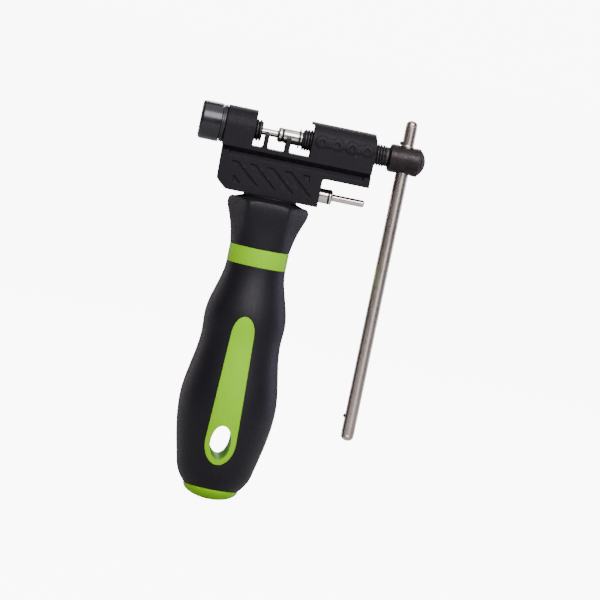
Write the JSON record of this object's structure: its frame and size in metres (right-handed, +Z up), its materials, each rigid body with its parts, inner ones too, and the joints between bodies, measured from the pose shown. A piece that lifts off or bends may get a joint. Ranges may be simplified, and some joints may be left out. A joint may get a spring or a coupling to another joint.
{
  "type": "chain tool",
  "caption": "Bicycle chain tool with a cast black body, a moulded grip, a drive screw turned by a sliding T-bar, an adjustable chain stop and a spare drive pin.",
  "frame": {"origin": "on the drive screw's axis, at the middle of the first chain wall's thickness and of the body's depth", "axes": "+X along the drive axis from the chain stop's knob towards the T-bar, +Z up out of the chain slot, with the handle hanging down -Z; the pictured front faces -Y"},
  "size_m": [0.1048, 0.0442, 0.1889],
  "materials": {
    "cast_black": "matt black oxide over a fine cast skin",
    "gloss_black": "glossy black",
    "thread_black": "satin black oxide with rubbed spots",
    "bright_steel": "ground and bright plated",
    "brushed_nickel": "nickel plate, drawn along the bar",
    "lime_plastic": "satin moulded plastic",
    "grip_rubber": "soft-touch rubber",
    "seal_rubber": "plain black rubber"
  },
  "bodies": {
    "root": {"tool_body": "cast_black", "neck_washer": "gloss_black", "handle_tang": "bright_steel", "handle_core": "lime_plastic", "handle_end_cap": "lime_plastic", "grip_collar": "grip_rubber", "grip_sleeve": "grip_rubber"},
    "stop_carriage": {"adjuster_friction_ring": "seal_rubber"},
    "chain_stop": {"adjuster_screw": "thread_black", "adjuster_knob": "gloss_black"},
    "pin_carriage": {"drive_pin": "bright_steel", "drive_pin_grip_ring": "seal_rubber", "drive_pin_circlip": "thread_black", "socket_snap_ring": "bright_steel"},
    "drive_screw": {"drive_screw": "thread_black"},
    "t_bar": {"t_bar": "brushed_nickel", "bar_stop_upper": "thread_black", "bar_stop_lower": "thread_black"},
    "spare_pin": {"spare_pin": "bright_steel", "spare_pin_grip_ring": "seal_rubber"}
  },
  "joints": [
    {"name": "stop_feed", "type": "slide", "parent": "root", "child": "stop_carriage", "axis": [1, 0, 0], "range_m": [-0.008, 0.0001]},
    {"name": "stop_turn", "type": "hinge", "parent": "stop_carriage", "child": "chain_stop", "pos_m": [-0.0268, 0, 0], "axis": [1, 0, 0], "range_deg": [-1920, 24]},
    {"name": "screw_feed", "type": "slide", "parent": "root", "child": "pin_carriage", "axis": [1, 0, 0], "range_m": [-0.003, 0.025]},
    {"name": "screw_turn", "type": "hinge", "parent": "pin_carriage", "child": "drive_screw", "pos_m": [0.0639, 0, 0], "axis": [1, 0, 0], "range_deg": [-864, 7200]},
    {"name": "bar_slide", "type": "slide", "parent": "drive_screw", "child": "t_bar", "axis": [0, 0, 1], "range_m": [0, 0.1125]},
    {"name": "spare_pin_pull", "type": "slide", "parent": "root", "child": "spare_pin", "axis": [1, 0, 0], "range_m": [0, 0.0073]}
  ],
  "couplings": [
    {"joint": "stop_turn", "follows": "stop_feed", "rad_per_m": 4188.8},
    {"joint": "screw_turn", "follows": "screw_feed", "rad_per_m": 5026.5}
  ]
}
